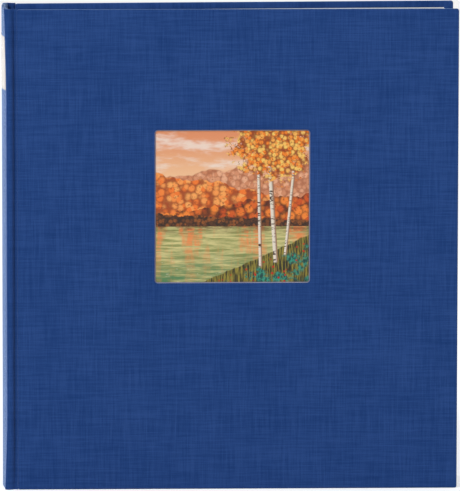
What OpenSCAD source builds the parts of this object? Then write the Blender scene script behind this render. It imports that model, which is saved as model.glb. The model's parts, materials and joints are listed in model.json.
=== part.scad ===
// Book-bound scrapbook album, standing on its tail edge.
// X runs from the spine to the fore-edge, Y from the front cover to the back cover, Z is up.
// The origin is under the middle of the album's bounding box.

/* [Covers] */
// Height of the covered boards
cover_h = 312; // [200:1:400]
// Width of a covered board, from the joint to the fore-edge
cover_w = 283.5; // [180:1.5:360]
// Thickness of the grey board
board_t = 2.5; // [1.6:0.1:4]
// Thickness of the bookcloth
cloth_t = 0.5; // [0.3:0.1:0.9]
// Rounding of the covered edges
edge_r = 0.8; // [0.4:0.1:1.2]
// Width of the cloth turned in over the inner faces
turn_in = 16; // [10:1:24]
// How far each cover leans away from the pages at rest, in degrees
splay = 1.2; // [0.8:0.1:2.4]

/* [Spine] */
// Thickness of the album over the two ridges of the spine
spine_t = 38.5; // [34:0.5:60]
// How far the spine bulges out between its ridges
spine_bulge = 2.2; // [1:0.1:4]
// Thickness of the card inside the spine
spine_board_t = 1.6; // [1:0.1:2.2]
// Width of the groove between the spine ridge and the cover board
groove_w = 7.5; // [6:0.5:12]
// Depth of the groove
groove_depth = 2.3; // [1.5:0.1:2.6]

/* [Window and label] */
// Width of the window in the front cover
window_w = 100; // [60:1:140]
// Height of the window
window_h = 99.5; // [60:0.5:140]
// Height of the window's lower edge above the tail
window_z = 134.5; // [90:0.5:160]
// Radius of the window's corners
window_r = 2; // [1:0.5:10]
// Depth of the picture below the cloth
picture_depth = 1.2; // [0.4:0.1:1.4]
// Thickness of the picture print
print_t = 0.3; // [0.2:0.1:0.5]
// White margin that shows round the picture print
print_margin = 0.7; // [0.4:0.1:3]
// Height of the spine label
label_h = 34.4; // [20:0.2:60]
// Distance of the label below the head
label_drop = 17.6; // [10:0.2:40]
// Bare cloth left between the label and each ridge
label_inset = 1.4; // [0.8:0.2:6]
// Thickness of the label paper
label_t = 0.2; // [0.1:0.1:0.4]

/* [Pages] */
// Number of card leaves
leaf_count = 20; // [10:1:20]
// Thickness of a card leaf
leaf_t = 0.55; // [0.3:0.05:0.6]
// Thickness of a glassine interleaf
glassine_t = 0.1; // [0.06:0.02:0.14]
// Gap between a leaf and its interleaf
glassine_gap = 0.15; // [0.1:0.05:0.2]
// How far the interleaf stays inside the leaf's edges
glassine_inset = 1.5; // [1:0.5:6]
// Overhang of the covers past the page heads and tails
square_h = 4.1; // [2.5:0.1:8]
// Overhang of the covers past the pages' fore-edges
square_w = 6.2; // [3:0.1:10]
// Width of the glued binding edge
binding_w = 6; // [4:0.5:12]
// Width of the creased gutter in which a leaf bends
gutter_w = 12; // [11:0.5:20]
// Thickness of the end papers
paper_t = 0.3; // [0.2:0.05:0.4]

/* [Hidden] */
$fn = 96;
// clearance between a leaf and the creased gutter that carries it
seam = 0.2;
// clearance between the joint cloth and the cover cloth
joint_seam = 0.15;
// clearance between the end papers, the pages and the joints
paper_gap = 0.25;
// the joint cloth stops this far short of the head and the tail
joint_short = 0.4;
// thickness of the spine lining, and its clearance behind the turned-in cloth
lining_t = 0.4;
lining_gap = 0.25;
// room kept for each flyleaf in the binding edge
flyleaf_room = 0.7;
// the hinge axis lies this far outside the cloth
axis_out = 0.3;
// the joint cloth begins this far from the ridge, beside the legs of the spine cloth
ridge_leg = 2.8;
// the pastedown's margin inside the cover's edges
pastedown_margin = 6;
// tightest corner that a window may have, and the least height of the trough's straight sides
corner_min = 0.2;
side_min = 0.01;
// segments in the wide arcs of the spine
spine_fn = 360;
// overshoot that makes every cut pass through
eps = 0.5;

covered_t = cloth_t + board_t + cloth_t;
half_t = spine_t / 2;
spine_r = (half_t * half_t + spine_bulge * spine_bulge) / (2 * spine_bulge);
fore_x = groove_w + cover_w;
axis_x = groove_w / 2;
axis_y = half_t + axis_out;
window_x = (fore_x - window_w) / 2;
pages_half = half_t - covered_t - paper_t - paper_gap;
pitch = (2 * pages_half - 2 * flyleaf_room) / leaf_count;
spine_board_r = spine_r - cloth_t - spine_board_t;
spine_in_r = spine_board_r - cloth_t;
// where the turned-in spine cloth comes closest to the corners of the pages
spine_in_x = spine_r - spine_bulge - sqrt(spine_in_r * spine_in_r - pages_half * pages_half);
lining_x = spine_in_x + lining_gap;
pages_x = lining_x + lining_t;
bend_x = pages_x + binding_w;
page_fore_x = fore_x - square_w;
page_h = cover_h - 2 * square_h;
x_max = axis_x + (fore_x - axis_x - edge_r) * cos(splay)
    + (covered_t + axis_out - edge_r) * sin(splay) + edge_r;
x_shift = -(x_max - spine_bulge - label_t) / 2;

blue = [0.15, 0.27, 0.48];
grey = [0.62, 0.60, 0.56];
cream = [0.95, 0.92, 0.88];
white = [0.97, 0.96, 0.93];

function two_digits(k) = k < 10 ? str("0", k) : str(k);
function leaf_y(k) = -pages_half + flyleaf_room + pitch * (k - 0.5);
function leaf_tilt(k) = splay * ((2 * k - 1) / leaf_count - 1);

// ---- placing ----

// Leans a cover about its joint axis; children stand as in the closed, unsplayed front cover.
module front_cover_place() {
    translate([axis_x, -axis_y, 0])
        rotate([0, 0, -splay])
            translate([-axis_x, axis_y, 0])
                children();
}

module back_cover_place() {
    mirror([0, 1, 0]) front_cover_place() children();
}

// Puts children on leaf k: their X runs out from the bend, their Y = 0 is the leaf's middle.
module leaf_place(k) {
    translate([bend_x, leaf_y(k), 0]) rotate([0, 0, leaf_tilt(k)]) children();
}

module flyleaf_place(side) {
    translate([bend_x, side * (pages_half - flyleaf_room / 2), 0])
        rotate([0, 0, side * splay])
            children();
}

// ---- shapes ----

// A block from [x0, y0, z0] to [x1, y1, z1].
module block(from, to) {
    translate(from) cube(to - from);
}

// The covered board's outer shape: fore-edge, head and tail are rounded, the joint edge is square.
module covered_shape() {
    intersection() {
        translate([groove_w, -half_t, 0])
            linear_extrude(cover_h)
                edge_section(cover_w, covered_t, edge_r);
        translate([groove_w - eps, -half_t, 0])
            rotate([90, 0, 90])
                linear_extrude(cover_w + 2 * eps)
                    both_edges_section(covered_t, cover_h, edge_r);
    }
}

// A rectangle whose two corners at the far end of X are round.
module edge_section(w, h, r) {
    union() {
        square([w - r, h]);
        translate([w - r, r]) square([r, h - 2 * r]);
        for (y = [r, h - r]) translate([w - r, y]) circle(r);
    }
}

// A rectangle whose four corners are round.
module both_edges_section(w, h, r) {
    union() {
        translate([r, 0]) square([w - 2 * r, h]);
        translate([0, r]) square([w, h - 2 * r]);
        for (x = [r, w - r], y = [r, h - r]) translate([x, y]) circle(r);
    }
}

// The window as a rounded block, grown all round and reaching from y0 to y1 below the cloth.
module window_block(grow, y0, y1) {
    w = window_w + 2 * grow;
    h = window_h + 2 * grow;
    r = max(window_r + grow, corner_min);
    x = window_x - grow;
    z = window_z - grow;
    union() {
        block([x + r, -half_t + y0, z], [x + w - r, -half_t + y1, z + h]);
        block([x, -half_t + y0, z + r], [x + w, -half_t + y1, z + h - r]);
        for (cx = [x + r, x + w - r], cz = [z + r, z + h - r])
            translate([cx, -half_t + y1, cz])
                rotate([90, 0, 0])
                    cylinder(r = r, h = y1 - y0);
    }
}

module board_solid() {
    block([groove_w, -half_t + cloth_t, cloth_t],
          [fore_x - cloth_t, -half_t + cloth_t + board_t, cover_h - cloth_t]);
}

// The area inside the turned-in cloth, one cloth thickness deep.
module infill_solid() {
    block([groove_w, -half_t + cloth_t + board_t, cloth_t + turn_in],
          [fore_x - turn_in, -half_t + covered_t, cover_h - cloth_t - turn_in]);
}

module cover_cloth_solid() {
    difference() {
        covered_shape();
        block([groove_w - eps, -half_t + cloth_t, cloth_t],
              [fore_x - cloth_t, -half_t + cloth_t + board_t, cover_h - cloth_t]);
        block([groove_w - eps, -half_t + cloth_t + board_t / 2, cloth_t + turn_in],
              [fore_x - turn_in, -half_t + covered_t + eps, cover_h - cloth_t - turn_in]);
    }
}

module pastedown_solid() {
    block([groove_w, -half_t + covered_t, pastedown_margin],
          [fore_x - pastedown_margin, -half_t + covered_t + paper_t, cover_h - pastedown_margin]);
}

// The groove's cloth: a round-bottomed trough from the spine ridge to the board's joint edge.
module joint_cloth_solid() {
    mouth = groove_w - ridge_leg - 2 * joint_seam;
    trough_r = mouth / 2;
    trough_x = ridge_leg + joint_seam + trough_r;
    trough_y = -half_t + groove_depth - trough_r;
    top_y = -half_t + joint_seam;
    translate([0, 0, joint_short])
        linear_extrude(cover_h - 2 * joint_short)
            difference() {
                trough_section(trough_x, trough_y, trough_r, top_y);
                trough_section(trough_x, trough_y, trough_r - cloth_t, top_y - eps);
            }
}

module trough_section(x, y, r, top_y) {
    intersection() {
        union() {
            translate([x, y]) circle(r);
            translate([x - r, top_y]) square([2 * r, max(y - top_y, side_min)]);
        }
        translate([x - r - eps, top_y]) square([2 * r + 2 * eps, groove_depth + eps]);
    }
}

// Plan of the spine between two radii, cut at half_width each side of the middle.
module spine_section(r_out, r_in, half_width) {
    intersection() {
        translate([spine_r - spine_bulge, 0])
            difference() {
                circle(r_out, $fn = spine_fn);
                circle(r_in, $fn = spine_fn);
            }
        translate([-2 * spine_bulge, -half_width])
            square([2 * spine_bulge + 4 * ridge_leg, 2 * half_width]);
    }
}

// A strip that runs along the binding edge and turns at the bend to follow its leaf.
module gutter_strip(y, tilt, thickness, offset_y, inset) {
    run = gutter_w - seam;
    lo = offset_y - thickness / 2;
    hi = offset_y + thickness / 2;
    translate([0, 0, square_h + inset])
        linear_extrude(page_h - 2 * inset)
            translate([bend_x, y])
                polygon([
                    [-binding_w, lo],
                    [0, lo],
                    [run * cos(tilt) - lo * sin(tilt), run * sin(tilt) + lo * cos(tilt)],
                    [run * cos(tilt) - hi * sin(tilt), run * sin(tilt) + hi * cos(tilt)],
                    [0, hi],
                    [-binding_w, hi]]);
}

// A flat sheet on a leaf, from the gutter to the fore-edge.
module sheet_solid(thickness, offset_y, inset) {
    block([gutter_w, offset_y - thickness / 2, square_h + inset],
          [page_fore_x - bend_x - inset, offset_y + thickness / 2, cover_h - square_h - inset]);
}

// ---- front cover ----

module front_board() {
    color(grey) front_cover_place() difference() {
        board_solid();
        window_block(cloth_t, 0, covered_t);
    }
}

module front_cloth() {
    wall_depth = picture_depth + print_t;
    color(blue) front_cover_place() difference() {
        union() {
            cover_cloth_solid();
            window_block(cloth_t, cloth_t / 2, wall_depth);
        }
        window_block(0, -eps, wall_depth + eps);
    }
}

module front_infill() {
    color(grey) front_cover_place() infill_solid();
}

module front_pastedown() {
    color(white) front_cover_place() pastedown_solid();
}

// White card that fills the window behind the print, down to the infill.
module window_mount() {
    color(white) front_cover_place()
        window_block(cloth_t, picture_depth + print_t, cloth_t + board_t);
}

module window_print() {
    color([0.88, 0.56, 0.36]) front_cover_place()
        window_block(-print_margin, picture_depth, picture_depth + print_t);
}

// ---- joints ----

module front_joint_cloth() {
    color(blue) joint_cloth_solid();
}

module back_joint_cloth() {
    color(blue) mirror([0, 1, 0]) joint_cloth_solid();
}

// ---- spine ----

module spine_board() {
    color(grey)
        translate([0, 0, cloth_t])
            linear_extrude(cover_h - 2 * cloth_t)
                spine_section(spine_r - cloth_t, spine_board_r, half_t - cloth_t);
}

// The cloth over the spine card, with its legs at the ridges and its turn-ins at head and tail.
module spine_cloth() {
    color(blue) difference() {
        union() {
            linear_extrude(cover_h) spine_section(spine_r, spine_board_r, half_t);
            for (z = [0, cover_h - turn_in])
                translate([0, 0, z])
                    linear_extrude(turn_in)
                        spine_section(spine_board_r, spine_in_r, half_t);
        }
        translate([0, 0, cloth_t])
            linear_extrude(cover_h - 2 * cloth_t)
                spine_section(spine_r - cloth_t, spine_board_r, half_t - cloth_t);
    }
}

module spine_label() {
    color(cream)
        translate([0, 0, cover_h - label_drop - label_h])
            linear_extrude(label_h)
                spine_section(spine_r + label_t, spine_r, half_t - label_inset);
}

module spine_lining() {
    color(cream)
        block([lining_x, -pages_half, square_h],
              [pages_x, pages_half, square_h + page_h]);
}

// ---- back cover ----

module back_board() {
    color(grey) back_cover_place() board_solid();
}

module back_cloth() {
    color(blue) back_cover_place() cover_cloth_solid();
}

module back_infill() {
    color(grey) back_cover_place() infill_solid();
}

module back_pastedown() {
    color(white) back_cover_place() pastedown_solid();
}

// ---- pages ----

// Strips between the leaves' binding edges, which keep room for mounted pictures.
module page_guards() {
    color(cream)
        for (k = [0:leaf_count])
            block([pages_x, k == 0 ? -pages_half + flyleaf_room / 2 + paper_t / 2
                                   : leaf_y(k) + leaf_t / 2, square_h],
                  [bend_x, k == leaf_count ? pages_half - flyleaf_room / 2 - paper_t / 2
                                           : leaf_y(k + 1) - leaf_t / 2 - glassine_gap - glassine_t,
                   square_h + page_h]);
}

// The binding edges and creased gutters of all the leaves, interleaves and flyleaves.
module leaf_gutters() {
    glassine_y = -(leaf_t + glassine_t) / 2 - glassine_gap;
    color(white) {
        for (k = [1:leaf_count]) {
            gutter_strip(leaf_y(k), leaf_tilt(k), leaf_t, 0, 0);
            gutter_strip(leaf_y(k), leaf_tilt(k), glassine_t, glassine_y, glassine_inset);
        }
        for (side = [-1, 1])
            gutter_strip(side * (pages_half - flyleaf_room / 2), side * splay, paper_t, 0, 0);
    }
}

module flyleaf(side) {
    color(white) flyleaf_place(side) sheet_solid(paper_t, 0, 0);
}

module leaf(k) {
    color(white) leaf_place(k) sheet_solid(leaf_t, 0, 0);
}

module glassine(k) {
    color([0.93, 0.94, 0.92, 0.5]) leaf_place(k)
        sheet_solid(glassine_t, -(leaf_t + glassine_t) / 2 - glassine_gap, glassine_inset);
}

// ---- the album ----

translate([x_shift, 0, 0]) {
    front_board();
    front_cloth();
    front_infill();
    front_pastedown();
    window_mount();
    window_print();
    front_joint_cloth();
    spine_board();
    spine_cloth();
    spine_label();
    spine_lining();
    back_joint_cloth();
    back_board();
    back_cloth();
    back_infill();
    back_pastedown();
    page_guards();
    leaf_gutters();
    flyleaf(-1);  // front_flyleaf
    flyleaf(1);  // back_flyleaf
    for (k = [1:leaf_count]) {
        leaf(k);
        glassine(k);
    }
}
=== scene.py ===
"""Scrapbook album: bookcloth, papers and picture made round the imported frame."""
import json
import math
import random

import bpy
import bmesh
from mathutils import Matrix, Vector


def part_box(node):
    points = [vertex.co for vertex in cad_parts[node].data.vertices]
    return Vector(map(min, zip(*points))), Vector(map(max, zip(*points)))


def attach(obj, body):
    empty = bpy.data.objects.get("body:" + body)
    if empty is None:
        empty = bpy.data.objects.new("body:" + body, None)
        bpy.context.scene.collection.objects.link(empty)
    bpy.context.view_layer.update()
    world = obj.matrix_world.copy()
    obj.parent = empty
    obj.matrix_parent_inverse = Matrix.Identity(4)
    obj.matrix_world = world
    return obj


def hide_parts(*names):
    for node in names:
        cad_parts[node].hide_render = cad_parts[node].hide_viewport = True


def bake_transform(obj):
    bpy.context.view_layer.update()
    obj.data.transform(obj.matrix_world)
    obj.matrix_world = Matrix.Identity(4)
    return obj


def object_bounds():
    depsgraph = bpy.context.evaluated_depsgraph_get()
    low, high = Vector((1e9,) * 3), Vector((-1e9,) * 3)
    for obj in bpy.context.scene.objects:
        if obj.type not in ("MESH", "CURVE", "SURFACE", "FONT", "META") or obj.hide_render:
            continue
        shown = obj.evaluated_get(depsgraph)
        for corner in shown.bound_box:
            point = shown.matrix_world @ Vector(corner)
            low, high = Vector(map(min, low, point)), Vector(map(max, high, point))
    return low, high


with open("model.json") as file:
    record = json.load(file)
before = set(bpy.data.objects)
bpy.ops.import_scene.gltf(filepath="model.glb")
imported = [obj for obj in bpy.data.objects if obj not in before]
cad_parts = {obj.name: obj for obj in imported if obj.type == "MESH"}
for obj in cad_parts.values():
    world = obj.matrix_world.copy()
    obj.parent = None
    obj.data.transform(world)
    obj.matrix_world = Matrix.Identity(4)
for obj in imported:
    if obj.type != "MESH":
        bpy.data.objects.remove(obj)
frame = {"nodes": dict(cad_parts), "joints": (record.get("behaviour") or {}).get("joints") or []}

cad_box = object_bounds()

MM = 0.001
JOINT_AT = {joint["name"]: Vector(joint["pos_m"]) for joint in frame["joints"]}
LEAVES = sorted(name for name in frame["nodes"] if name.startswith("leaf_") and name != "leaf_gutters")

# ---- sizes, in metres unless a name says otherwise ----

COVER_H = cad_box[1].z
COVER_W = 283.5 * MM
GROOVE_W = 7.5 * MM
GROOVE_DEPTH = 2.3 * MM
CLOTH_T = 0.5 * MM
COVERED_T = 3.5 * MM
TURN_IN = 16 * MM
EDGE_R = 0.95 * MM
CORNER_R = 1.4 * MM
SPLAY = math.radians(1.2)
AXIS_OUT = 0.3 * MM
AXIS = JOINT_AT["back_cover_hinge"]
HALF_T = AXIS.y - AXIS_OUT
RIDGE_X = AXIS.x - GROOVE_W / 2
BOARD_U = GROOVE_W / 2
JOINT_U = BOARD_U - CLOTH_T
FORE_U = BOARD_U + COVER_W

WINDOW_W = 100 * MM
WINDOW_H = 99.5 * MM
WINDOW_Z = 134.5 * MM
WINDOW_R = 2 * MM
WINDOW_MID_U = COVER_W / 2
WINDOW_WALL = 1.5 * MM
WINDOW_EDGE_R = 0.45 * MM
FACE_SWAY = 0.09 * MM
FACE_DEPTH = 0.1 * MM
JOINT_TURN_IN = 1 * MM
LEAST_R = 0.02 * MM

SPINE_BULGE = 2.2 * MM
SPINE_BAND = 2.6 * MM
SPINE_END_R = 1.5 * MM
CAP_R = 1.1 * MM
CAP_EDGE_R = 0.35 * MM
HEAD_RISE = 0.5 * MM
SPINE_R = (HALF_T * HALF_T + SPINE_BULGE * SPINE_BULGE) / (2 * SPINE_BULGE)
SPINE_CENTRE_X = RIDGE_X + SPINE_R - SPINE_BULGE
RIDGE_SPREAD = 0.5 * MM
RIDGE_DRAW = 1.7 * MM
RIDGE_DRAW_REACH = 52 * MM
LABEL_T = 0.2 * MM
LABEL_INSET = 1.4 * MM
LABEL_BEDDED = 0.05 * MM
CARD_CLEAR = 0.1 * MM
CARD_FOOT = 1.3 * MM
CARD_HEAD = 0.8 * MM

STRIP_FROM = 0.95 * MM
STRIP_END = 0.1 * MM
CREST = 2.2 * MM
CREST_RISE = 0.25 * MM
BOTTOM = 5.1 * MM
SKIN_GAP = 0.02 * MM
LINING_FROM = 2.2 * MM
LINING_T = 0.25 * MM
SINK_POWER = 2.2
RISE_SHARE = 0.55
RISE_POWER = 1.2
HEAD_FILL = 0.45
HEAD_FILL_REACH = 14 * MM

BEND_X = JOINT_AT["leaf_01_turn"].x
GUTTER_W = 12 * MM
PAGE_LOW, PAGE_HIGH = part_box("page_guards")
PAGE_FORE_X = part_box("leaf_10")[1].x
PAPER_T = 0.3 * MM
LEAF_T = 0.55 * MM
GLASSINE_T = 0.1 * MM
GLASSINE_GAP = 0.15 * MM
GLASSINE_INSET = 1.5 * MM
PASTEDOWN_MARGIN = 6 * MM
PASTEDOWN_U = BOARD_U + 0.2 * MM
FLY_WAVE = 0.1 * MM
LEAF_BOW_MM = 0.22
LEAF_WAVE_MM = (0.5, 1.0)

# Points along each straight side and each corner of a cover, and rings over its face.
PER_SIDE = 24
PER_CORNER = 5
FACE_RINGS = 16
SPINE_STEPS = 41
SPINE_ROWS = 47

THREAD_PITCH_MM = 0.42
MULL_PITCH = 1.2 * MM


# ---- building nodes ----

def put(tree, kind, inputs=None, out=0, **settings):
    """Adds a node, sets its choices, fills or links its inputs and returns one output."""
    made = tree.nodes.new(kind)
    for name, value in settings.items():
        setattr(made, name, value)
    for key, value in (inputs or {}).items():
        if isinstance(value, bpy.types.NodeSocket):
            tree.links.new(value, made.inputs[key])
        else:
            made.inputs[key].default_value = value
    return made.outputs[out]


def calc(tree, operation, *values, clamp=False):
    """One Math node on the given numbers or sockets."""
    return put(tree, "ShaderNodeMath", dict(enumerate(values)), operation=operation, use_clamp=clamp)


def mix(tree, share, a, b):
    """A colour between a and b."""
    made = tree.nodes.new("ShaderNodeMix")
    made.data_type = "RGBA"
    for key, value in ((0, share), (6, a), (7, b)):
        if isinstance(value, bpy.types.NodeSocket):
            tree.links.new(value, made.inputs[key])
        else:
            made.inputs[key].default_value = value
    return made.outputs[2]


def noise(tree, at, scale, detail=2.0, roughness=0.5):
    """Soft noise round 0.5."""
    return put(tree, "ShaderNodeTexNoise",
               {"Vector": at, "Scale": scale, "Detail": detail, "Roughness": roughness})


def ramp(tree, value, low, high, to_low=0.0, to_high=1.0):
    """A clamped smooth step of value from low to high."""
    return put(tree, "ShaderNodeMapRange",
               {"Value": value, "From Min": low, "From Max": high, "To Min": to_low, "To Max": to_high},
               interpolation_type="SMOOTHSTEP")


def srgb(red, green, blue):
    """A linear colour with alpha from 8-bit display values."""
    def line(value):
        share = value / 255
        return share / 12.92 if share <= 0.04045 else ((share + 0.055) / 1.055) ** 2.4
    return (line(red), line(green), line(blue), 1.0)


def new_material(name):
    """A material, its node tree and its shader."""
    made = bpy.data.materials.new(name)
    made.use_nodes = True
    return made, made.node_tree, made.node_tree.nodes["Principled BSDF"]


def feed(tree, shader, **sockets):
    """Fills or links a shader's inputs; an underscore in a name stands for a space."""
    for name, value in sockets.items():
        socket = shader.inputs[name.replace("_", " ")]
        if isinstance(value, bpy.types.NodeSocket):
            tree.links.new(value, socket)
        else:
            socket.default_value = value


def bump(tree, height, distance, strength=1.0):
    """Fine relief from a height, for surfaces whose shape is already in the mesh."""
    return put(tree, "ShaderNodeBump", {"Height": height, "Distance": distance, "Strength": strength})


# ---- materials ----

DEEP_BLUE = srgb(24, 60, 120)
PALE_BLUE = srgb(45, 79, 142)


def bookcloth():
    """Fine linen-weave bookcloth with slubs in both directions; its UV map is in metres."""
    made, tree, shader = new_material("blue_bookcloth")
    sheet = put(tree, "ShaderNodeUVMap", uv_map="cloth")
    per_mm = put(tree, "ShaderNodeVectorMath", {0: sheet, "Scale": 1000.0}, operation="SCALE")
    drift = noise(tree, per_mm, 0.35, 1.0)
    wander = calc(tree, "MULTIPLY", calc(tree, "SUBTRACT", drift, 0.5), 0.5)
    parts = tree.nodes.new("ShaderNodeSeparateXYZ")
    tree.links.new(per_mm, parts.inputs[0])
    x = calc(tree, "ADD", parts.outputs[0], wander)
    y = calc(tree, "SUBTRACT", parts.outputs[1], wander)

    def slub(across, along, seed, coarse):
        """Long thin streaks, where single threads are thicker or thinner."""
        at = put(tree, "ShaderNodeCombineXYZ",
                 {0: calc(tree, "MULTIPLY", across, coarse),
                  1: calc(tree, "MULTIPLY", along, 0.035 * coarse), 2: seed})
        return noise(tree, at, 1.0, 2.0, 0.6)

    warp_slub, weft_slub = slub(x, y, 3.1, 0.95), slub(y, x, 8.7, 0.95)
    warp_fine, weft_fine = slub(x, y, 14.3, 2.4), slub(y, x, 21.9, 2.4)

    def thread(value):
        turn = calc(tree, "MULTIPLY", value, 2 * math.pi / THREAD_PITCH_MM)
        return calc(tree, "SINE", turn)

    warp, weft = thread(x), thread(y)
    weave = calc(tree, "MULTIPLY", warp, weft)
    mottle = noise(tree, per_mm, 0.028, 3.0, 0.6)

    streaks = calc(tree, "ADD", calc(tree, "ADD", warp_slub, weft_slub),
                   calc(tree, "MULTIPLY", calc(tree, "ADD", warp_fine, weft_fine), 0.7))
    tone = calc(tree, "ADD", ramp(tree, streaks, 1.15, 2.25), ramp(tree, mottle, 0.3, 0.7, -0.12, 0.12))
    tone = calc(tree, "ADD", tone, calc(tree, "MULTIPLY", weave, 0.12), clamp=True)
    colour = mix(tree, tone, DEEP_BLUE, PALE_BLUE)
    height = calc(tree, "ADD", calc(tree, "MULTIPLY", weave, 0.5),
                  calc(tree, "MULTIPLY", streaks, 0.9))
    feed(tree, shader, Base_Color=colour, Normal=bump(tree, height, 0.05 * MM, 0.9),
         Roughness=0.85, Specular_IOR_Level=0.12, Sheen_Weight=1.0, Sheen_Roughness=0.32,
         Sheen_Tint=(0.48, 0.68, 1.0, 1.0))
    return made


def paper(name, colour, fibre=0.03):
    """Uncoated paper or card with short fibres and a faint cloudiness."""
    made, tree, shader = new_material(name)
    at = put(tree, "ShaderNodeTexCoord", out=3)
    cloud = noise(tree, at, 60.0, 3.0, 0.6)
    fibres = noise(tree, at, 2600.0, 2.0, 0.7)
    tone = calc(tree, "ADD", ramp(tree, cloud, 0.3, 0.7, 1 - fibre, 1 + fibre / 2),
                calc(tree, "MULTIPLY", calc(tree, "SUBTRACT", fibres, 0.5), fibre))
    shaded = put(tree, "ShaderNodeVectorMath", {0: colour[:3], "Scale": tone}, operation="SCALE")
    feed(tree, shader, Base_Color=shaded, Normal=bump(tree, fibres, 0.02 * MM, 0.6),
         Roughness=0.78, Specular_IOR_Level=0.25)
    return made


def glassine():
    """Thin calendered interleaf, half clear, with a faint embossed web."""
    made, tree, shader = new_material("glassine")
    at = put(tree, "ShaderNodeTexCoord", out=3)
    web = put(tree, "ShaderNodeTexVoronoi", {"Vector": at, "Scale": 110.0, "Randomness": 1.0},
              feature="DISTANCE_TO_EDGE")
    line = ramp(tree, web, 0.0, 0.07, 1.0, 0.0)
    haze = noise(tree, at, 35.0, 3.0)
    clear = calc(tree, "ADD", ramp(tree, haze, 0.3, 0.7, 0.50, 0.60), calc(tree, "MULTIPLY", line, 0.12))
    feed(tree, shader, Base_Color=srgb(236, 237, 233), Roughness=0.38, Alpha=clear,
         Normal=bump(tree, line, 0.03 * MM, 0.7))
    return made


def gauze():
    """Open cotton mull pasted over the pages' binding edge."""
    made, tree, shader = new_material("mull")
    at = put(tree, "ShaderNodeTexCoord", out=3)
    parts = tree.nodes.new("ShaderNodeSeparateXYZ")
    tree.links.new(at, parts.inputs[0])

    def threads(value):
        turn = calc(tree, "MULTIPLY", value, math.pi / MULL_PITCH)
        return calc(tree, "ABSOLUTE", calc(tree, "SINE", turn))

    net = calc(tree, "MAXIMUM", threads(parts.outputs[1]), threads(parts.outputs[2]))
    glue = noise(tree, at, 300.0, 3.0)
    share = ramp(tree, net, 0.75, 0.95)
    ground = mix(tree, glue, srgb(196, 178, 140), srgb(214, 200, 166))
    colour = mix(tree, share, ground, srgb(232, 226, 206))
    feed(tree, shader, Base_Color=colour, Normal=bump(tree, net, 0.2 * MM, 0.8), Roughness=0.9)
    return made


def greyboard():
    """Pulp board with darker flecks."""
    made, tree, shader = new_material("greyboard")
    at = put(tree, "ShaderNodeTexCoord", out=3)
    flecks = noise(tree, at, 900.0, 4.0, 0.75)
    colour = mix(tree, ramp(tree, flecks, 0.35, 0.65), srgb(120, 116, 108), srgb(160, 156, 147))
    feed(tree, shader, Base_Color=colour, Normal=bump(tree, flecks, 0.05 * MM), Roughness=0.92)
    return made


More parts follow.
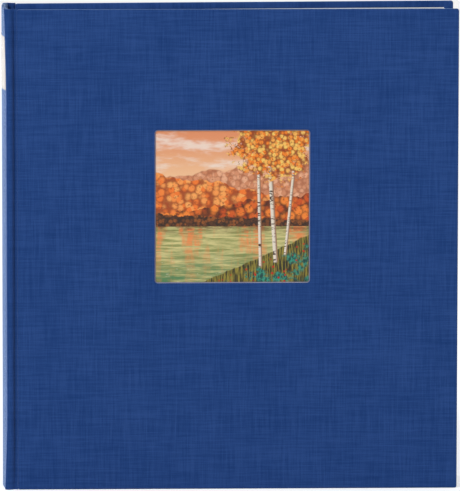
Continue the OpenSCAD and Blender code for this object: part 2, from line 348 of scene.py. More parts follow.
def picture(name, centre, width, height):
    """A printed landscape: birches by a lake under wooded hills, in autumn colours."""
    made, tree, shader = new_material(name)
    at = put(tree, "ShaderNodeTexCoord", out=3)
    parts = tree.nodes.new("ShaderNodeSeparateXYZ")
    tree.links.new(at, parts.inputs[0])
    x = calc(tree, "DIVIDE", calc(tree, "SUBTRACT", parts.outputs[0], centre.x), width)
    y = calc(tree, "DIVIDE", calc(tree, "SUBTRACT", parts.outputs[2], centre.z), height)

    def place(sx, sy, seed):
        return put(tree, "ShaderNodeCombineXYZ",
                   {0: calc(tree, "MULTIPLY", x, sx), 1: calc(tree, "MULTIPLY", y, sy), 2: seed})

    def waves(sx, sy, seed, low, high, detail=4.0):
        return ramp(tree, noise(tree, place(sx, sy, seed), 1.0, detail, 0.65), low, high)

    def ridge(level, slope, scale, size, seed):
        """Positive below a rolling skyline and negative above it."""
        roll = noise(tree, place(scale, 0.0, seed), 1.0, 3.0, 0.6)
        line = calc(tree, "ADD", calc(tree, "MULTIPLY", calc(tree, "SUBTRACT", roll, 0.5), size),
                    calc(tree, "MULTIPLY_ADD", x, slope, level))
        return calc(tree, "SUBTRACT", line, y)

    def woods(scale, seed, dark, middle, light):
        """Crowns of trees: each has its own tone, a lit top and a dark gap below."""
        spot = put(tree, "ShaderNodeVectorMath", {0: place(scale, scale, seed), 1: (0.4, 0.4, 0.0)},
                   operation="ADD")
        cell = tree.nodes.new("ShaderNodeTexVoronoi")
        tree.links.new(spot, cell.inputs["Vector"])
        cell.inputs["Scale"].default_value = 1.0
        tone = put(tree, "ShaderNodeSeparateColor", {0: cell.outputs["Color"]})
        body = mix(tree, ramp(tree, tone, 0.15, 0.9), middle, light)
        fleck = waves(scale * 1.7, scale * 2.1, seed + 3.0, 0.52, 0.70, 2.0)
        body = mix(tree, calc(tree, "MULTIPLY", fleck, 0.75), body, dark)
        return mix(tree, ramp(tree, cell.outputs["Distance"], 0.38, 0.80, 0.0, 0.85), body, dark)

    cloud = calc(tree, "MULTIPLY", waves(2.4, 8.0, 2.0, 0.46, 0.66), 0.85)
    sky = mix(tree, ramp(tree, y, 0.10, 0.5), srgb(253, 206, 160), srgb(232, 148, 102))
    sky = mix(tree, cloud, sky, srgb(250, 230, 216))

    night, ember = srgb(46, 18, 6), srgb(208, 84, 26)
    layers = [
        (ridge(0.25, 0.12, 3.0, 0.26, 5.0), 0.010,
         woods(30, 6.0, srgb(176, 104, 70), srgb(214, 140, 100), srgb(240, 178, 140))),
        (ridge(0.13, -0.20, 4.2, 0.22, 11.0), 0.006,
         woods(26, 12.0, srgb(150, 60, 22), srgb(250, 126, 46), srgb(255, 172, 92))),
        (ridge(0.02, 0.14, 6.0, 0.18, 17.0), 0.005,
         woods(22, 18.0, night, ember, srgb(250, 138, 52))),
        (ridge(-0.07, -0.04, 16.0, 0.08, 23.0), 0.004,
         woods(44, 24.0, srgb(26, 14, 6), srgb(74, 40, 18), srgb(150, 84, 34))),
    ]
    colour = sky
    for skyline, soft, body in layers:
        colour = mix(tree, ramp(tree, skyline, 0.0, soft), colour, body)

    water = mix(tree, waves(5.0, 60.0, 31.0, 0.36, 0.64), srgb(142, 148, 84), srgb(222, 210, 144))
    green = calc(tree, "MULTIPLY", ramp(tree, y, -0.24, -0.46), waves(3.0, 26.0, 34.0, 0.38, 0.60))
    water = mix(tree, green, water, srgb(86, 132, 84))
    streak = calc(tree, "MULTIPLY", waves(13.0, 2.2, 33.0, 0.46, 0.62), waves(6.0, 48.0, 36.0, 0.34, 0.58))
    near_shore = calc(tree, "MULTIPLY", streak, ramp(tree, y, -0.44, -0.18, 0.25, 1.0))
    water = mix(tree, near_shore, water, srgb(240, 142, 80))
    dim = calc(tree, "MULTIPLY", ramp(tree, y, -0.20, -0.13, 0.0, 0.8), waves(9.0, 36.0, 37.0, 0.36, 0.6))
    water = mix(tree, dim, water, srgb(92, 54, 26))
    spark = calc(tree, "MULTIPLY", waves(16.0, 120.0, 38.0, 0.66, 0.72, 2.0), ramp(tree, y, -0.30, -0.42))
    water = mix(tree, spark, water, srgb(240, 236, 216))
    colour = mix(tree, ramp(tree, calc(tree, "SUBTRACT", -0.13, y), 0.0, 0.004), colour, water)

    bank = ridge(-0.41, 0.44, 5.0, 0.12, 41.0)
    reeds = mix(tree, waves(90.0, 9.0, 42.0, 0.40, 0.60), srgb(30, 30, 10), srgb(150, 136, 52))
    colour = mix(tree, ramp(tree, bank, 0.0, 0.010), colour, reeds)
    moss = calc(tree, "MULTIPLY", ramp(tree, bank, 0.05, 0.08), waves(9.0, 9.0, 44.0, 0.47, 0.56, 3.0))
    colour = mix(tree, moss, colour, mix(tree, waves(60.0, 40.0, 45.0, 0.4, 0.6),
                                         srgb(10, 62, 58), srgb(52, 148, 124)))
    berries = put(tree, "ShaderNodeTexVoronoi", {"Vector": place(26, 26, 46.0), "Scale": 1.0})
    spots = calc(tree, "MULTIPLY", ramp(tree, berries, 0.14, 0.24, 1.0, 0.0), ramp(tree, bank, 0.02, 0.06))
    colour = mix(tree, spots, colour, srgb(190, 30, 14))

    bark = mix(tree, waves(14.0, 52.0, 51.0, 0.55, 0.60, 3.0), srgb(238, 226, 208), srgb(54, 30, 20))
    for foot_x, foot_y, lean, thick in ((0.285, -0.38, -0.06, 0.013), (0.345, -0.33, 0.10, 0.008),
                                        (0.185, -0.41, -0.02, 0.009)):
        centre_x = calc(tree, "MULTIPLY_ADD", calc(tree, "SUBTRACT", y, foot_y), lean, foot_x)
        off = calc(tree, "SUBTRACT", x, centre_x)
        stem = ramp(tree, calc(tree, "ABSOLUTE", off), thick, thick + 0.004, 1.0, 0.0)
        trunk = calc(tree, "MULTIPLY", stem, ramp(tree, y, foot_y, foot_y + 0.02))
        shaded = mix(tree, ramp(tree, off, -thick * 0.2, thick), bark, srgb(150, 108, 80))
        colour = mix(tree, trunk, colour, shaded)
    crown_x = calc(tree, "MULTIPLY", calc(tree, "SUBTRACT", x, 0.27), 1.9)
    crown_y = calc(tree, "MULTIPLY", calc(tree, "SUBTRACT", y, 0.42), 2.1)
    crown = calc(tree, "SQRT", calc(tree, "MULTIPLY_ADD", crown_x, crown_x,
                                    calc(tree, "MULTIPLY", crown_y, crown_y)))
    ragged = calc(tree, "MULTIPLY_ADD", noise(tree, place(15, 18, 55.0), 1.0, 5.0, 0.8), 1.5, crown)
    leafy = woods(42, 56.0, srgb(130, 46, 12), srgb(248, 134, 36), srgb(255, 206, 104))
    colour = mix(tree, ramp(tree, ragged, 1.20, 1.27, 1.0, 0.0), colour, leafy)

    feed(tree, shader, Base_Color=colour, Roughness=0.42, Specular_IOR_Level=0.4)
    return made


# ---- meshes ----

def finish_mesh(name, mesh, body, skin, cloth_uv=None, smooth_angle=40):
    """Shades, cleans and links a mesh; it rides on body, unless that is None."""
    made = bpy.data.objects.new(name, mesh)
    bpy.context.scene.collection.objects.link(made)
    if cloth_uv is not None:
        layer = mesh.uv_layers.new(name="cloth")
        for loop in mesh.loops:
            layer.data[loop.index].uv = cloth_uv[loop.vertex_index]
    shaped = bmesh.new()
    shaped.from_mesh(mesh)
    bmesh.ops.recalc_face_normals(shaped, faces=shaped.faces)
    shaped.to_mesh(mesh)
    shaped.free()
    mesh.materials.append(skin)
    mesh.shade_smooth()
    mesh.set_sharp_from_angle(angle=math.radians(smooth_angle))
    if body:
        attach(made, body)
    return made


def ring_mesh(name, rows, close_profile):
    """A mesh from closed rows of equal length; the first and last rows join or are capped."""
    count = len(rows[0])
    points = [point for row in rows for point in row]
    faces = []
    steps = len(rows) if close_profile else len(rows) - 1
    for r in range(steps):
        a, b = r * count, (r + 1) % len(rows) * count
        for i in range(count):
            k = (i + 1) % count
            faces.append((a + i, a + k, b + k, b + i))
    if not close_profile:
        faces.append(tuple(range(count)))
        faces.append(tuple(reversed(range((len(rows) - 1) * count, len(rows) * count))))
    mesh = bpy.data.meshes.new(name)
    mesh.from_pydata(points, [], faces)
    return mesh


def sheet_mesh(name, columns, rows, place):
    """A closed thin sheet; place(column, row, side) gives a point on side 0 or 1."""
    n_col, n_row = len(columns), len(rows)
    points = [place(c, r, side) for side in (0, 1) for c in columns for r in rows]

    def index(side, i, j):
        return side * n_col * n_row + i * n_row + j

    faces = []
    for i in range(n_col - 1):
        for j in range(n_row - 1):
            for side in (0, 1):
                faces.append((index(side, i, j), index(side, i + 1, j),
                              index(side, i + 1, j + 1), index(side, i, j + 1)))
    rim = ([(i, 0) for i in range(n_col)]
           + [(n_col - 1, j) for j in range(1, n_row)]
           + [(i, n_row - 1) for i in range(n_col - 2, -1, -1)]
           + [(0, j) for j in range(n_row - 2, 0, -1)])
    for (i, j), (k, m) in zip(rim, rim[1:] + rim[:1]):
        faces.append((index(0, i, j), index(0, k, m), index(1, k, m), index(1, i, j)))
    mesh = bpy.data.meshes.new(name)
    mesh.from_pydata(points, [], faces)
    return mesh


def spaced(low, high, count):
    """Evenly spaced values from low to high."""
    return [low + (high - low) * i / (count - 1) for i in range(count)]


def round_rect(low, high, radius, inset=0.0, left_inset=None):
    """(point, outward normal) pairs round a rectangle moved in by inset, always the same count."""
    left_inset = inset if left_inset is None else left_inset
    low, high = (low[0] + left_inset, low[1] + inset), (high[0] - inset, high[1] - inset)
    radius = max(radius - inset, LEAST_R)
    corners = [((low[0] + radius, low[1] + radius), 180), ((high[0] - radius, low[1] + radius), 270),
               ((high[0] - radius, high[1] - radius), 0), ((low[0] + radius, high[1] - radius), 90)]
    found = []
    for n, (centre, start) in enumerate(corners):
        for step in range(PER_CORNER + 1):
            turn = math.radians(start + 90 * step / PER_CORNER)
            out = (math.cos(turn), math.sin(turn))
            found.append(((centre[0] + radius * out[0], centre[1] + radius * out[1]), out))
        ahead = corners[(n + 1) % 4][0]
        out = (math.cos(math.radians(start + 90)), math.sin(math.radians(start + 90)))
        first = (centre[0] + radius * out[0], centre[1] + radius * out[1])
        last = (ahead[0] + radius * out[0], ahead[1] + radius * out[1])
        for step in range(1, PER_SIDE):
            share = step / PER_SIDE
            found.append(((first[0] + (last[0] - first[0]) * share,
                           first[1] + (last[1] - first[1]) * share), out))
    return found


# ---- covers ----

def cover_point(u, depth, z, side):
    """A point on a leaning cover: u from the joint axis, depth in from its outer face."""
    out = depth + AXIS_OUT
    x = AXIS.x + u * math.cos(SPLAY) + out * math.sin(SPLAY)
    y = AXIS.y + u * math.sin(SPLAY) - out * math.cos(SPLAY)
    return Vector((x, side * y, z))


def quarter(radius, steps):
    """(in from the edge, depth) along a rounded edge, from the face to the edge's side."""
    turns = [math.pi / 2 * step / steps for step in range(steps + 1)]
    return [(radius * (1 - math.sin(turn)), radius * (1 - math.cos(turn))) for turn in turns]


def cover_cloth(side, body, window):
    """The cloth drawn over a board, with its turn-ins and, in front, its picture window."""
    name = "front_cover_cloth" if side < 0 else "back_cover_cloth"
    mid_u, mid_z = WINDOW_MID_U, WINDOW_Z + WINDOW_H / 2
    window_low = (mid_u - WINDOW_W / 2, mid_z - WINDOW_H / 2)
    window_high = (mid_u + WINDOW_W / 2, mid_z + WINDOW_H / 2)

    rows, maps = [], []

    def add(share, window_grow, edge_inset, depth, beyond=0.0):
        row, uv = [], []
        inner = round_rect(window_low, window_high, WINDOW_R, -window_grow)
        outer = round_rect((JOINT_U, 0), (FORE_U, COVER_H), CORNER_R,
                           edge_inset, min(edge_inset, JOINT_TURN_IN))
        for ((wu, wz), w_out), ((eu, ez), e_out) in zip(inner, outer):
            u, z = wu + (eu - wu) * share, wz + (ez - wz) * share
            row.append(cover_point(u, depth + sway(u, z, share, depth), z, side))
            spread = e_out if share > 0.5 else w_out
            uv.append((u + spread[0] * beyond, z + spread[1] * beyond))
        rows.append(row)
        maps.append(uv)

    def sway(u, z, share, depth):
        """A shallow wave over the outer face, since board and cloth are never dead flat."""
        fade = min(1.0, 4 * share * (1 - share)) if depth < FACE_DEPTH else 0.0
        return FACE_SWAY * fade * math.sin(u * 31 + 2 * side) * math.cos(z * 23 + side)

    board_face, board_back = CLOTH_T, COVERED_T - CLOTH_T
    if window:
        add(0, 0, 0, WINDOW_WALL, -WINDOW_WALL)
        add(0, 0, 0, WINDOW_EDGE_R * 1.3, -WINDOW_EDGE_R)
        for inset, depth in reversed(quarter(WINDOW_EDGE_R, 4)):
            add(0, inset, 0, depth)
    for step in range(1 if window else 0, FACE_RINGS):
        add(step / FACE_RINGS, WINDOW_EDGE_R, EDGE_R, 0)
    for inset, depth in quarter(EDGE_R, 5):
        add(1, 0, inset, depth, EDGE_R - inset)
    for inset, depth in reversed(quarter(EDGE_R, 5)):
        add(1, 0, inset, COVERED_T - depth, COVERED_T - EDGE_R + inset)
    add(1, 0, TURN_IN / 2, COVERED_T, COVERED_T + TURN_IN / 2)
    add(1, 0, TURN_IN, COVERED_T, COVERED_T + TURN_IN)
    add(1, 0, TURN_IN, board_back, COVERED_T + TURN_IN)
    add(1, 0, CLOTH_T, board_back, COVERED_T)
    add(1, 0, CLOTH_T, board_face, 0)
    add(0, CLOTH_T, 0, board_face, 0)
    if window:
        add(0, CLOTH_T, 0, WINDOW_WALL, -WINDOW_WALL)
    mesh = ring_mesh(name, rows, window)
    flat_uv = [uv for row in maps for uv in row]
    made = finish_mesh(name, mesh, body, CLOTH, flat_uv)
    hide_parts("front_cloth" if side < 0 else "back_cloth")
    return made


def pastedown(side, body):
    """The end paper pasted over the board and the turned-in cloth."""
    name = "front_paste_paper" if side < 0 else "back_paste_paper"

    def place(u, z, face):
        sunk = 0.0 if face else PAPER_T
        return cover_point(u, COVERED_T + sunk, z, side)

    columns = spaced(PASTEDOWN_U, FORE_U - PASTEDOWN_MARGIN, 12)
    rows = spaced(PASTEDOWN_MARGIN, COVER_H - PASTEDOWN_MARGIN, 12)
    mesh = sheet_mesh(name, columns, rows, place)
    made = finish_mesh(name, mesh, body, END_PAPER)
    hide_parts("front_pastedown" if side < 0 else "back_pastedown")
    return made


# ---- spine and joints ----

def spine_outline(inset, outer_inset):
    """Plan of the covered spine card, all round, moved in by inset; its outer face by outer_inset."""
    r_out, r_in = SPINE_R - outer_inset, SPINE_R - SPINE_BAND + inset
    half = HALF_T - inset
    reach_out = math.asin((HALF_T - SPINE_END_R) / r_out)
    reach_in = math.asin((HALF_T - SPINE_END_R) / r_in)
    points = []
    for turn in spaced(-reach_out, reach_out, SPINE_STEPS):
        points.append((SPINE_CENTRE_X - r_out * math.cos(turn), r_out * math.sin(turn)))
    points += ridge_end(1, r_out, r_in, reach_out, reach_in, half)
    for turn in spaced(reach_in, -reach_in, SPINE_STEPS):
        points.append((SPINE_CENTRE_X - r_in * math.cos(turn), r_in * math.sin(turn)))
    points += ridge_end(-1, r_out, r_in, -reach_in, -reach_out, half)
    return points


def ridge_end(side, r_out, r_in, turn_from, turn_to, half):
    """The rounded end of the spine card at a ridge: half an ellipse between the two arcs."""
    r_from, r_to = (r_out, r_in) if side > 0 else (r_in, r_out)
    start = (SPINE_CENTRE_X - r_from * math.cos(turn_from), r_from * math.sin(turn_from))
    end = (SPINE_CENTRE_X - r_to * math.cos(turn_to), r_to * math.sin(turn_to))
    found = []
    for step in range(1, 10):
        angle = math.pi * step / 10
        along = 0.5 - 0.5 * math.cos(angle)
        out = math.sin(angle)
        x = start[0] + (end[0] - start[0]) * along
        base = start[1] + (end[1] - start[1]) * along
        found.append((x, base + (side * half - base) * out))
    return found


def rounding(radius, depth):
    """How far a rounded edge stands back at a depth below its top."""
    left = max(0.0, radius - depth)
    return radius - math.sqrt(radius * radius - left * left)


def spine_shift(spot, z):
    """Moves the ridges of the spine's outer face with the turned-in cloth below it."""
    radius = math.hypot(spot[0] - SPINE_CENTRE_X, spot[1])
    outer = min(1.0, max(0.0, 1 - (SPINE_R - radius) / SPINE_BAND))
    ridge = max(0.0, (abs(spot[1]) / HALF_T - 0.5) * 2) ** 2
    return Vector((spot[0] + ridge_shift(z) * ridge * outer, spot[1], z))


def spine_cloth():
    """Cloth over the rounded spine card, drawn over its head and tail."""
    rows, uvs = [], []
    top = COVER_H + HEAD_RISE
    depths = [CAP_R * (1 - math.cos(math.pi / 2 * step / 8)) for step in range(9)]
    levels = (depths + spaced(CAP_R * 1.5, top - CAP_R * 1.5, SPINE_ROWS)
              + [top - depth for depth in reversed(depths)])
    for z in levels:
        depth = min(z, top - z)
        inset = rounding(CAP_R, depth)
        along = z + (inset if z > top / 2 else -inset)
        row, run = [], 0.0
        for spot in spine_outline(inset, rounding(CAP_EDGE_R, depth)):
            place = spine_shift(spot, z)
            run += math.dist(place, row[-1]) if row else 0.0
            row.append(place)
            uvs.append((run, along))
        rows.append(row)
    mesh = ring_mesh("spine_cover_cloth", rows, False)
    made = finish_mesh("spine_cover_cloth", mesh, "block", CLOTH, uvs)
    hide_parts("spine_cloth")
    return made


def spine_card():
    """The card inside the spine's cloth, which follows the shape of the cloth and is hidden by it."""
    inset = CLOTH_T + CARD_CLEAR
    rows = [[spine_shift(spot, z) for spot in spine_outline(inset, inset)]
            for z in spaced(CARD_FOOT, COVER_H - CARD_HEAD, SPINE_ROWS)]
    mesh = ring_mesh("spine_card", rows, False)
    made = finish_mesh("spine_card", mesh, "block", GREYBOARD)
    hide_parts("spine_board")
    return made


def ridge_shift(z):
    """Turned-in cloth pushes the ridges back at head and tail; between them they spread a little."""
    near = max(0.0, min(z, COVER_H - z))
    return RIDGE_SPREAD - RIDGE_DRAW * max(0.0, 1 - near / RIDGE_DRAW_REACH) ** 1.5


def spine_label():
    """A bare paper label round the spine, on the cloth."""
    low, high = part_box("spine_label")
    half = math.asin((HALF_T - LABEL_INSET) / SPINE_R)

    def place(turn, z, face):
        radius = SPINE_R + (LABEL_T if face else -LABEL_BEDDED)
        spot = (SPINE_CENTRE_X - radius * math.cos(turn), radius * math.sin(turn))
        return spine_shift(spot, z)

    mesh = sheet_mesh("spine_paper_label", spaced(-half, half, SPINE_STEPS), spaced(low.z, high.z, 17), place)
    made = finish_mesh("spine_paper_label", mesh, "block", LABEL)
    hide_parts("spine_label")
    return made


def groove_depth(x):
    """How far the cloth lies below the ridge, x from the ridge: over a crest, down, up to the board."""
    if x < CREST:
        share = (CREST - x) / (CREST - STRIP_FROM)
        return SKIN_GAP - CREST_RISE * (1 - share * share)
    if x < BOTTOM:
        share = (x - CREST) / (BOTTOM - CREST)
        return SKIN_GAP - CREST_RISE + (GROOVE_DEPTH + CREST_RISE) * share ** SINK_POWER
    share = (x - BOTTOM) / (GROOVE_W - BOTTOM)
    return GROOVE_DEPTH * (1 - RISE_SHARE * share ** RISE_POWER)


def head_fill(z):
    """The turned-in cloth makes the groove shallower at its very head and tail."""
    near = max(0.0, min(z, COVER_H - z))
    return 1 - HEAD_FILL * max(0.0, 1 - near / HEAD_FILL_REACH) ** 2


def joint_strip(side, lining):
    """The cloth, or the paper inside it, that spans the groove and bends at the joint."""
    word = "front" if side < 0 else "back"
    name = f"{word}_joint_{'paper' if lining else 'fabric'}"
    left = RIDGE_X + (LINING_FROM if lining else STRIP_FROM)
    right = RIDGE_X + GROOVE_W - CLOTH_T / 2
    thick = LINING_T if lining else CLOTH_T
    sunk = CLOTH_T + SKIN_GAP if lining else 0.0

    def place(x, z, face):
        ease = min(1.0, max(0.0, (RIDGE_X + BOTTOM - x) / (BOTTOM - CREST)))
        depth = groove_depth(x - RIDGE_X) * head_fill(z) + sunk + (0.0 if face else thick)
        return Vector((x + ridge_shift(z) * ease, side * (HALF_T - depth), z))

    low, high = ((PASTEDOWN_MARGIN, COVER_H - PASTEDOWN_MARGIN) if lining
                 else (STRIP_END, COVER_H + HEAD_RISE - STRIP_END))
    columns, rows = spaced(left, right, 33), spaced(low, high, 63)
    mesh = sheet_mesh(name, columns, rows, place)
    uvs = [(v.co.x - RIDGE_X, v.co.z) for v in mesh.vertices]
    made = finish_mesh(name, mesh, None, END_PAPER if lining else CLOTH,
                       uvs)
    if not lining:
        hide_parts(f"{word}_joint_cloth")
    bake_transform(made)
    return made


# ---- pages, by geometry nodes ----

def sheet_tree():
    """Geometry nodes for one bound sheet: straight in the binding, then leaning and a little bowed."""
    tree = bpy.data.node_groups.new("bound_sheet", "GeometryNodeTree")
    for name, kind in (("Length", "Float"), ("Height", "Float"), ("Foot", "Float"), ("Thickness", "Float"),
                       ("Binding", "Float"), ("Gutter", "Float"), ("Start", "Float"), ("Middle", "Float"),
                       ("Tilt", "Float"), ("Bow", "Float"), ("Wave", "Float"), ("Seed", "Float"),
                       ("Finish", "Material")):
        tree.interface.new_socket(name=name, in_out="INPUT", socket_type=f"NodeSocket{kind}")
    tree.interface.new_socket(name="Geometry", in_out="OUTPUT", socket_type="NodeSocketGeometry")
    given = tree.nodes.new("NodeGroupInput").outputs
    grid = put(tree, "GeometryNodeMeshGrid",
               {"Size X": 1.0, "Size Y": 1.0, "Vertices X": 41, "Vertices Y": 15})
    spot = put(tree, "GeometryNodeInputPosition")
    parts = tree.nodes.new("ShaderNodeSeparateXYZ")
    tree.links.new(spot, parts.inputs[0])
    along = calc(tree, "ADD", parts.outputs[0], 0.5)
    up = calc(tree, "ADD", parts.outputs[1], 0.5)
    near = calc(tree, "ADD", given["Binding"], calc(tree, "MULTIPLY", given["Gutter"], 1.25))
    first = calc(tree, "MULTIPLY", near, calc(tree, "MULTIPLY", along, 2.0, clamp=True))
    rest = calc(tree, "MULTIPLY", calc(tree, "SUBTRACT", given["Length"], near),
                calc(tree, "MULTIPLY_ADD", along, 2.0, -1.0, clamp=True))
    run = calc(tree, "ADD", first, rest)
    free = calc(tree, "MAXIMUM", calc(tree, "SUBTRACT", run, given["Binding"]), 0.0)
    share = calc(tree, "DIVIDE", free, given["Length"])
    lean = calc(tree, "MULTIPLY", free, calc(tree, "TANGENT", given["Tilt"]))
    bow = calc(tree, "MULTIPLY", given["Bow"], calc(tree, "SINE", calc(tree, "MULTIPLY", share, math.pi)))
    wave_at = put(tree, "ShaderNodeCombineXYZ", {0: calc(tree, "MULTIPLY", share, 1.6),
                                                 1: calc(tree, "MULTIPLY", up, 2.2), 2: given["Seed"]})
    ripple = put(tree, "ShaderNodeTexNoise", {"Vector": wave_at, "Scale": 1.0, "Detail": 0.0})
    wave = calc(tree, "MULTIPLY", calc(tree, "MULTIPLY", given["Wave"], share),
                calc(tree, "SUBTRACT", ripple, 0.5))
    offset = calc(tree, "ADD", calc(tree, "ADD", given["Middle"], lean), calc(tree, "ADD", bow, wave))
    half = calc(tree, "MULTIPLY", given["Thickness"], 0.5)
    place = put(tree, "ShaderNodeCombineXYZ",
                {0: calc(tree, "ADD", given["Start"], run), 1: calc(tree, "ADD", offset, half),
                 2: calc(tree, "MULTIPLY_ADD", up, given["Height"], given["Foot"])})
    sheet = put(tree, "GeometryNodeSetPosition", {"Geometry": grid, "Position": place})
    back = put(tree, "GeometryNodeSetPosition",
               {"Geometry": sheet, "Offset": put(tree, "ShaderNodeCombineXYZ",
                                                 {1: calc(tree, "MULTIPLY", given["Thickness"], -1.0)})})
    walls = tree.nodes.new("GeometryNodeExtrudeMesh")
    walls.mode = "EDGES"
    rim = put(tree, "GeometryNodeInputMeshEdgeNeighbors")
    one = put(tree, "FunctionNodeCompare", {2: rim, 3: 1}, data_type="INT", operation="EQUAL")
    tree.links.new(sheet, walls.inputs["Mesh"])
    tree.links.new(one, walls.inputs["Selection"])
    tree.links.new(put(tree, "ShaderNodeCombineXYZ", {1: -1.0}), walls.inputs["Offset"])
    tree.links.new(given["Thickness"], walls.inputs["Offset Scale"])
    both = tree.nodes.new("GeometryNodeJoinGeometry")
    for part in (back, walls.outputs[0]):
        tree.links.new(part, both.inputs[0])
    closed = put(tree, "GeometryNodeMergeByDistance", {"Geometry": both.outputs[0], "Distance": 1e-6})
    real = put(tree, "GeometryNodeRealizeInstances", {"Geometry": closed})
    skinned = put(tree, "GeometryNodeSetMaterial", {"Geometry": real, "Material": given["Finish"]})
    tree.links.new(skinned, tree.nodes.new("NodeGroupOutput").inputs[0])
    return tree


def bound_sheet(tree, name, skin, sizes):
    """Runs the sheet tree with the given sizes, keeps the plain mesh and bends it at its gutter."""
    holder = bpy.data.objects.new(name + "_maker", bpy.data.meshes.new(name + "_maker"))
    bpy.context.scene.collection.objects.link(holder)
    maker = holder.modifiers.new("sheet", "NODES")
    maker.node_group = tree
    for item in tree.interface.items_tree:
        if item.in_out == "INPUT" and item.name in sizes:
            maker[item.identifier] = sizes[item.name]
        elif item.in_out == "INPUT" and item.name == "Finish":
            maker[item.identifier] = skin
    graph = bpy.context.evaluated_depsgraph_get()
    mesh = bpy.data.meshes.new_from_object(holder.evaluated_get(graph))
    mesh.name = name
    bpy.data.objects.remove(holder)
    made = finish_mesh(name, mesh, None, skin)
    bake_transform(made)
    return made


def pages():
    """Card leaves with their glassine interleaves, and the two flyleaves."""
    tree = sheet_tree()
    binding = BEND_X - PAGE_LOW.x
    common = {"Height": PAGE_HIGH.z - PAGE_LOW.z, "Foot": PAGE_LOW.z, "Binding": binding,
              "Gutter": GUTTER_W, "Start": PAGE_LOW.x, "Length": PAGE_FORE_X - PAGE_LOW.x}
    count = len(LEAVES)
    luck = random.Random(7)
    for number, leaf in enumerate(LEAVES):
        tilt = SPLAY * ((2 * number + 1) / count - 1)
        middle = JOINT_AT[leaf + "_turn"].y
        own = {"Tilt": tilt, "Bow": luck.uniform(-LEAF_BOW_MM, LEAF_BOW_MM) * MM,
               "Wave": luck.uniform(*LEAF_WAVE_MM) * MM, "Seed": luck.uniform(0, 90)}
        card = bound_sheet(tree, "card_" + leaf, PAGE,
                           {**common, **own, "Thickness": LEAF_T, "Middle": middle})
        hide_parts(leaf, *(["leaf_gutters"] if number == 0 else []))
        veil_name = leaf.replace("leaf", "glassine")
        veil = bound_sheet(tree, "veil_" + veil_name, GLASSINE,
                           {**common, **own, "Thickness": GLASSINE_T,
                            "Middle": middle - (LEAF_T + GLASSINE_T) / 2 - GLASSINE_GAP,
                            "Length": common["Length"] - GLASSINE_INSET,
                            "Height": common["Height"] - 2 * GLASSINE_INSET,
                            "Foot": common["Foot"] + GLASSINE_INSET})
        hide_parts(veil_name)
    for side, word in ((-1, "front"), (1, "back")):
        fly = bound_sheet(tree, f"{word}_fly_paper", END_PAPER,
                          {**common, "Tilt": side * SPLAY, "Bow": 0.0, "Wave": FLY_WAVE, "Seed": 3.0,
                           "Thickness": PAPER_T, "Middle": JOINT_AT[f"{word}_flyleaf_turn"].y})
        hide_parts(f"{word}_flyleaf")


def dress(node, skin):
    """Gives a CAD node its finish."""
    made = frame["nodes"][node]
    made.data.materials.clear()
    made.data.materials.append(skin)


# ---- studio ----

def camera():
    """A long lens, a little above and to the spine side."""
    azimuth, elevation, roll = math.radians(-3.058), math.radians(8.173), math.radians(0.069)
    distance, target = 4.855, Vector((0.00083, 0, 0.15587))
    sensor_mm, long_side_px, lens_px = 36, 491, 7504.6
    back = Vector((math.sin(azimuth) * math.cos(elevation), -math.cos(azimuth) * math.cos(elevation),
                   math.sin(elevation)))
    lens = bpy.data.cameras.new("camera")
    lens.sensor_width = sensor_mm
    lens.lens = sensor_mm * lens_px / long_side_px
    lens.clip_end = 50
    made = bpy.data.objects.new("camera", lens)
    turn = back.to_track_quat("Z", "Y").to_matrix().to_4x4()
    made.matrix_world = Matrix.Translation(target + back * distance) @ turn @ Matrix.Rotation(roll, 4, "Z")
    bpy.context.scene.collection.objects.link(made)
    bpy.context.scene.camera = made


def lamp(name, place, aim, size, power):
    """A rectangular lamp that faces aim."""
    light = bpy.data.lights.new(name, "AREA")
    light.shape = "RECTANGLE"
    light.size, light.size_y = size
    light.energy = power
    made = bpy.data.objects.new(name, light)
    made.location = place
    made.rotation_euler = (Vector(aim) - Vector(place)).to_track_quat("-Z", "Y").to_euler()
    bpy.context.scene.collection.objects.link(made)


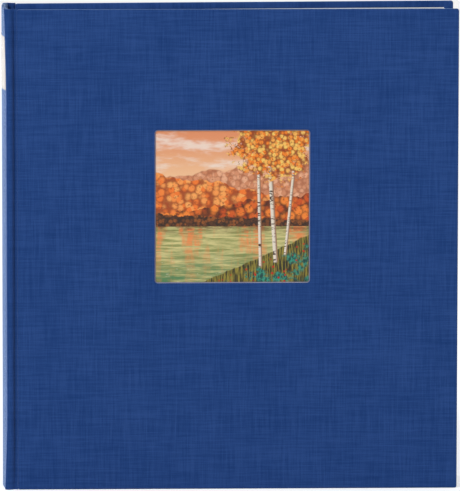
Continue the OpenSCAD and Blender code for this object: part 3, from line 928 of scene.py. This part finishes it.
def studio():
    """A pale floor, a white world and three lamps; the low side lamp lights the spine."""
    floor_mesh = bpy.data.meshes.new("floor")
    reach = 6.0
    corners = [(-reach, -reach, 0), (reach, -reach, 0), (reach, reach, 0), (-reach, reach, 0)]
    floor_mesh.from_pydata(corners, [], [(0, 1, 2, 3)])
    floor = bpy.data.objects.new("floor", floor_mesh)
    bpy.context.scene.collection.objects.link(floor)
    pale, tree, shader = new_material("pale_floor")
    feed(tree, shader, Base_Color=(0.82, 0.82, 0.82, 1), Roughness=0.9, Specular_IOR_Level=0.1)
    path = tree.nodes.new("ShaderNodeLightPath")
    seen = calc(tree, "MAXIMUM", path.outputs["Is Camera Ray"], path.outputs["Is Glossy Ray"])
    feed(tree, shader, Emission_Color=(1, 1, 1, 1), Emission_Strength=calc(tree, "MULTIPLY", seen, 0.45))
    floor_mesh.materials.append(pale)

    world = bpy.data.worlds.new("studio")
    bpy.context.scene.world = world
    world.use_nodes = True
    tree = world.node_tree
    path = tree.nodes.new("ShaderNodeLightPath")
    seen = calc(tree, "MAXIMUM", path.outputs["Is Camera Ray"],
                calc(tree, "MAXIMUM", path.outputs["Is Glossy Ray"], path.outputs["Is Transmission Ray"]))
    ground = tree.nodes["Background"]
    ground.inputs["Color"].default_value = (1, 1, 1, 1)
    world_light = 0.45
    strength = calc(tree, "MULTIPLY_ADD", seen, 1 - world_light, world_light)
    tree.links.new(strength, ground.inputs["Strength"])

    middle = (0, 0, COVER_H / 2)
    lamp("key", (-1.9, -1.8, 2.4), middle, (0.9, 0.9), 48)
    lamp("side", (-1.7, 1.7, 0.14), middle, (1.2, 0.28), 66)
    lamp("fill", (2.3, -1.5, 1.1), middle, (1.6, 1.6), 14)


# ---- the album ----

CLOTH = bookcloth()
PAGE = paper("page_card", srgb(238, 239, 240))
END_PAPER = paper("end_paper", srgb(240, 237, 228), 0.025)
WHITE_CARD = paper("white_card", srgb(236, 235, 232), 0.02)
# The mount is white card; its grey-lavender colour is painted shade, standing for the shade in the window
# recess where its margin shows.
MOUNT_CARD_IN_PAINTED_SHADE = paper("mount_card_in_painted_shade", srgb(186, 178, 196), 0.02)
LABEL = paper("label_paper", srgb(174, 170, 167), 0.03)
GLASSINE = glassine()
MULL = gauze()
GREYBOARD = greyboard()

camera()
print_low, print_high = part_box("window_print")
dress("window_print", picture("picture", (print_low + print_high) / 2, print_high.x - print_low.x,
                              print_high.z - print_low.z))
for bare in ("front_board", "back_board"):
    dress(bare, GREYBOARD)
for card in ("front_infill", "back_infill"):
    dress(card, WHITE_CARD)
# The mount card under the print carries painted shade for the window recess.
dress("window_mount", MOUNT_CARD_IN_PAINTED_SHADE)
dress("page_guards", PAGE)
dress("spine_lining", MULL)
cover_cloth(-1, "front_cover", True)
cover_cloth(1, "back_cover", False)
pastedown(-1, "front_cover")
pastedown(1, "back_cover")
spine_cloth()
spine_card()
spine_label()
for joint_side in (-1, 1):
    joint_strip(joint_side, False)
    joint_strip(joint_side, True)
pages()
studio()

bpy.context.scene.view_settings.view_transform = "Standard"
